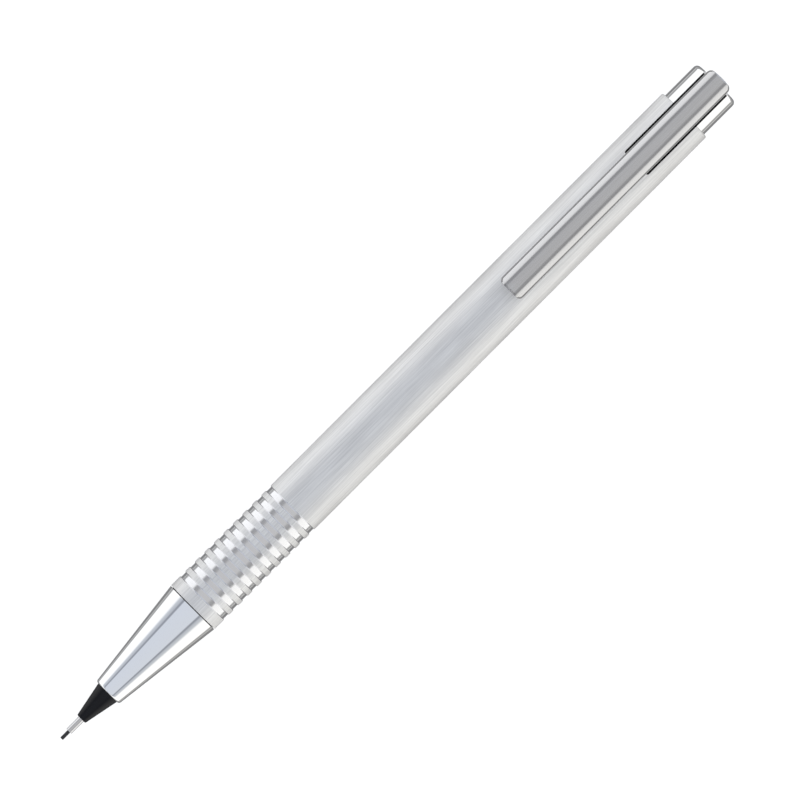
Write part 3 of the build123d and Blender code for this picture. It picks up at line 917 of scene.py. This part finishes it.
def clip_skin():
    """The clip's outer shape as one closed solid, before it is hollowed."""
    columns = 40
    rim_steps = 4
    probe_from = 0.04
    probe_step = 0.01
    rows = clip_plan()
    last = len(rows) - 1
    edge = clip_edge(last, columns)
    on_edge = set(edge)
    points = []
    place = {}
    faces = []

    def add(key, station, aside, height):
        """Keeps a point under a key. The rear end bows out in the middle."""
        reach = max(0, 1 - (CLIP_REAR - station) / CLIP_REAR_BOW_LENGTH)
        bow = CLIP_REAR_BOW * reach**2 * (aside / CLIP_HALF) ** 2
        place[key] = len(points)
        points.append((station - bow, aside, height))

    def facing(row, column):
        """The outward direction in plan at the edge of the grid."""
        if row in (0, last):
            return (-1 if row == 0 else 1, 0)
        turn = rows[row][2]
        side = 1 if column == columns else -1
        return (-math.cos(turn), side * math.sin(turn))

    def quad(*keys):
        """Keeps a face between points, by their keys."""
        faces.append(tuple(place[key] for key in keys))

    for row, (station, half, _) in enumerate(rows):
        for column in range(columns + 1):
            aside = half * (2 * column / columns - 1)
            add((row, column, "bottom"), station, aside, clip_bottom(station))
            if (row, column) not in on_edge:
                inner = aside * (CLIP_HALF - CLIP_SPLAY) / CLIP_HALF
                add((row, column, "top"), station, inner, clip_top(station, inner))
    for row, column in edge:
        station, half, _ = rows[row]
        aside = half * (2 * column / columns - 1)
        ahead, outward = facing(row, column)
        near = CLIP_SPLAY + probe_from
        far = near + probe_step
        rise = clip_top(station - ahead * far, aside - outward * far)
        rise -= clip_top(station - ahead * near, aside - outward * near)
        slope = math.atan2(rise, probe_step)
        back = CLIP_SPLAY + CLIP_RIM_R * (1 - math.sin(slope))
        crest_station = station - ahead * back
        crest_aside = aside - outward * back
        height = clip_top(crest_station, crest_aside)
        for step in range(rim_steps + 1):
            turn = slope + (math.pi / 2 - slope) * step / rim_steps
            reach = CLIP_RIM_R * (math.sin(turn) - math.sin(slope))
            drop = CLIP_RIM_R * (math.cos(slope) - math.cos(turn))
            key = (row, column, "top" if step == 0 else step)
            add(key, crest_station + ahead * reach, crest_aside + outward * reach, height - drop)
        knee = max(height - CLIP_SPLAY_DROP, clip_bottom(station))
        add((row, column, "knee"), station, aside, knee)

    for row in range(last):
        for column in range(columns):
            for level in ("top", "bottom"):
                quad(
                    (row, column, level),
                    (row + 1, column, level),
                    (row + 1, column + 1, level),
                    (row, column + 1, level),
                )
    levels = ["top", *range(1, rim_steps + 1), "knee", "bottom"]
    for index, here in enumerate(edge):
        after = edge[(index + 1) % len(edge)]
        for upper, lower in zip(levels, levels[1:]):
            quad((*here, upper), (*after, upper), (*after, lower), (*here, lower))
    return collect("sheet_clip", points, faces)


def clip_hollow():
    """The channel inside the clip, from its toe to its rear wall."""
    side = CLIP_HALF - CLIP_SHEET
    crown_r = CLIP_CROWN_R - CLIP_SHEET
    crown_steps = 16
    ring = [(CLIP_TOE_REAR, side, 0), (CLIP_TOE_REAR, -side, 0)]
    for step in range(crown_steps + 1):
        aside = side * (2 * step / crown_steps - 1)
        ring.append((CLIP_TOE_REAR, aside, CLIP_TOP - CLIP_SHEET - fall_from(aside, crown_r)))
    return prism(ring, (CLIP_REAR - CLIP_SHEET - CLIP_TOE_REAR, 0, 0))


def pin_hole():
    """The hole through both ears."""
    sides = 48
    reach = 2 * CLIP_HALF
    ring = []
    for side in range(sides):
        turn = 2 * math.pi * side / sides
        station = PIN_STATION + PIN_HOLE_R * math.cos(turn)
        ring.append((station, -reach, PIN_HEIGHT + PIN_HOLE_R * math.sin(turn)))
    return prism(ring, (0, 2 * reach, 0))


def clip():
    """The sprung sheet-metal clip."""
    made = clip_skin()
    cut(made, clip_hollow())
    cut(made, pin_hole())
    stand_in(made, "clip", "clip_steel")


# Springs


def coil(name, length, radius, wire_r, turns, place):
    """A round-wire coil with a closed turn at each end.

    place makes a point of the pencil from two distances across the coil and one along it.
    """
    per_turn = 32
    sides = 12
    closed = 2 * wire_r
    travel = length - 2 * wire_r
    pitch = (travel - 2 * closed) / (turns - 2)
    points = []
    for step in range(turns * per_turn + 1):
        wound = step / per_turn
        open_turns = min(max(wound - 1, 0), turns - 2)
        rise = wire_r + pitch * open_turns + closed * (wound - open_turns)
        angle = 2 * math.pi * wound
        for side in range(sides):
            turn = 2 * math.pi * side / sides
            reach = radius + wire_r * math.cos(turn)
            along = rise + wire_r * math.sin(turn)
            points.append(place(reach * math.cos(angle), reach * math.sin(angle), along))
    faces = []
    for ring in range(turns * per_turn):
        for side in range(sides):
            after = (side + 1) % sides
            first = ring * sides
            faces.append((first + side, first + after, first + sides + after, first + sides + side))
    last = turns * per_turn * sides
    faces += [tuple(range(sides)), tuple(range(last, last + sides))]
    return collect(name, points, faces)


def return_spring():
    """The coil that pushes the carriage back. It shortens as the button is pressed."""
    made = coil(
        "return_coil",
        RETURN_LENGTH,
        RETURN_R,
        RETURN_WIRE_R,
        RETURN_TURNS,
        lambda side, up, along: (HOUSING_COLLAR_REAR + along, side, up),
    )
    stand_in(made, "return_spring", "spring_steel")
    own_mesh(made)


def clip_spring():
    """The coil under the clip's tail. It shortens as the clip opens."""
    outer_r = CLIP_COIL_R + CLIP_COIL_WIRE_R
    ceiling = CLIP_TOP - CLIP_SHEET - fall_from(outer_r, CLIP_CROWN_R - CLIP_SHEET)
    length = ceiling - COIL_GAP - CLIP_COIL_FOOT
    made = coil(
        "clip_coil",
        length,
        CLIP_COIL_R,
        CLIP_COIL_WIRE_R,
        CLIP_COIL_TURNS,
        lambda along, side, up: (CLIP_COIL_STATION + along, side, CLIP_COIL_FOOT + up),
    )
    stand_in(made, "clip_spring", "spring_steel")
    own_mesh(made)


for make in (
    barrel,
    nose_cone,
    tip_insert,
    guide_sleeve,
    writing_lead,
    clutch_housing,
    front_bush,
    chuck_ring,
    lead_reservoir,
    eraser_ferrule,
    eraser,
    push_button,
    clip,
    return_spring,
    clip_spring,
):
    make()


# Studio

# Light by its direction round the pencil's length, in degrees from straight above, on both sides
# alike. The first list is for light from straight across the pencil, and the second is for light
# that leans along it.
CEILING = (0.70, 0.74, 0.82)
ACROSS = (
    (0, (0.62, 0.62, 0.63)),
    (27, (0.62, 0.62, 0.63)),
    (34, (0.41, 0.41, 0.42)),
    (48, (0.36, 0.36, 0.37)),
    (56, (1.10, 1.10, 1.10)),
    (112, (1.20, 1.20, 1.20)),
    (116, (0.38, 0.38, 0.38)),
    (126, (0.38, 0.38, 0.38)),
    (130, (0.78, 0.78, 0.78)),
    (136, (0.22, 0.22, 0.22)),
    (180, (0.34, 0.34, 0.35)),
)
ALONG = (
    (0, CEILING),
    (37, CEILING),
    (41, (0.32, 0.34, 0.39)),
    (46, (0.34, 0.36, 0.41)),
    (50, (0.52, 0.55, 0.61)),
    (60, (0.62, 0.65, 0.70)),
    (67, (1.05, 1.06, 1.08)),
    (74, (1.20, 1.20, 1.20)),
    (117, (1.20, 1.20, 1.20)),
    (121, (0.34, 0.34, 0.34)),
    (131, (0.34, 0.34, 0.34)),
    (136, (0.66, 0.66, 0.66)),
    (141, (0.22, 0.22, 0.22)),
    (152, (0.30, 0.30, 0.31)),
    (180, (0.22, 0.22, 0.22)),
)


def studio_light():
    """A soft studio round the pencil: a pale ceiling, a bright band along each side, and grey below."""
    across_limit = 0.08
    change_width = 0.10
    warm_side = (1.0, 0.99, 0.965, 1)
    cool_side = (0.98, 0.985, 1.0, 1)
    world = bpy.data.worlds.new("studio")
    world.use_nodes = True
    bpy.context.scene.world = world
    tree = world.node_tree
    background = tree.nodes["Background"]
    background.inputs["Strength"].default_value = 1.0

    def worked_out(operation, *values):
        """The result of one sum."""
        made = tree.nodes.new("ShaderNodeMath")
        made.operation = operation
        for socket, value in zip(made.inputs, values):
            feed(tree, socket, value)
        return made.outputs[0]

    def bands(turn, levels):
        """The light at a turn from straight above, from one of the lists."""
        ramp = tree.nodes.new("ShaderNodeValToRGB")
        tree.links.new(turn, ramp.inputs[0])
        elements = ramp.color_ramp.elements
        for degrees, colour in levels[1:-1]:
            elements.new(degrees / 180).color = (*colour, 1)
        elements[0].color = (*levels[0][1], 1)
        elements[-1].color = (*levels[-1][1], 1)
        return ramp.outputs["Color"]

    parts = tree.nodes.new("ShaderNodeSeparateXYZ")
    tree.links.new(tree.nodes.new("ShaderNodeTexCoord").outputs["Generated"], parts.inputs[0])
    aside = worked_out("ABSOLUTE", parts.outputs["Y"])
    turn = worked_out("DIVIDE", worked_out("ARCTAN2", aside, parts.outputs["Z"]), math.pi)
    lean = worked_out("ABSOLUTE", parts.outputs["X"])
    leaning = worked_out("DIVIDE", worked_out("SUBTRACT", lean, across_limit), change_width)
    leaning_share = worked_out("MINIMUM", worked_out("MAXIMUM", leaning, 0.0), 1.0)
    level = mix_colours(tree, leaning_share, bands(turn, ACROSS), bands(turn, ALONG))
    side_share = worked_out("ADD", worked_out("MULTIPLY", parts.outputs["Y"], 0.5), 0.5)
    warmth = mix_colours(tree, side_share, warm_side, cool_side)
    tree.links.new(mix_colours(tree, 1.0, level, warmth, "MULTIPLY"), background.inputs["Color"])


def stage():
    """A pale floor that turns up into a wall far from the pencil, seen only by the camera.

    Its rings, in metres, are spaced wider outwards.
    """
    flat, rise, height = 3.6, 0.45, 4.5
    middle_r = 0.02
    sides, flat_rings, rise_rings = 96, 6, 12
    glow = 0.75
    profile = [(middle_r, 0.0)]
    profile += [(flat * (ring / flat_rings) ** 2, 0.0) for ring in range(2, flat_rings + 1)]
    for ring in range(1, rise_rings + 1):
        turn = math.radians(90 * ring / rise_rings)
        profile.append((flat + rise * math.sin(turn), rise * (1 - math.cos(turn))))
    profile.append((flat + rise, height))
    points = []
    faces = []
    for reach, level in profile:
        for side in range(sides):
            turn = 2 * math.pi * side / sides
            points.append((reach * math.cos(turn), reach * math.sin(turn), level))
    for row in range(len(profile) - 1):
        inner = row * sides
        outer = inner + sides
        for side in range(sides):
            after = (side + 1) % sides
            faces.append((inner + side, outer + side, outer + after, inner + after))
    faces.append(tuple(range(sides)))
    mesh = bpy.data.meshes.new("floor")
    mesh.from_pydata(points, [], faces)
    mesh.shade_smooth()
    floor = bpy.data.objects.new("floor", mesh)
    floor.location.z = CAD_BOX[0].z
    bpy.context.scene.collection.objects.link(floor)
    paper = Surface(
        "floor_paper",
        base_color=(0.5, 0.5, 0.5, 1),
        roughness=0.9,
        emission_color=(1, 1, 1, 1),
        emission_strength=glow,
    )
    mesh.materials.append(paper.material)
    floor.visible_glossy = False
    floor.visible_shadow = False
    floor.visible_diffuse = False


def camera():
    """Looks straight down on the clip, with the pencil along the picture's diagonal."""
    lens = 700
    sensor = 36
    length_to_width = 1.166
    forward_of_middle = 1.83 * MM
    aside = -0.01 * MM
    diagonal = math.radians(-45.03)
    nearest, farthest = 0.01, 20
    data = bpy.data.cameras.new("camera")
    data.lens = lens
    data.sensor_width = sensor
    data.clip_start = nearest
    data.clip_end = farthest
    eye = bpy.data.objects.new("camera", data)
    middle = (POINT_X + TAIL_X) / 2
    distance = LENGTH / length_to_width * lens / sensor
    eye.location = (middle + forward_of_middle, aside, AXIS_Z + distance)
    eye.rotation_euler = (0, 0, diagonal)
    bpy.context.scene.collection.objects.link(eye)
    bpy.context.scene.camera = eye


bpy.context.scene.view_settings.view_transform = "Standard"
studio_light()
stage()
camera()
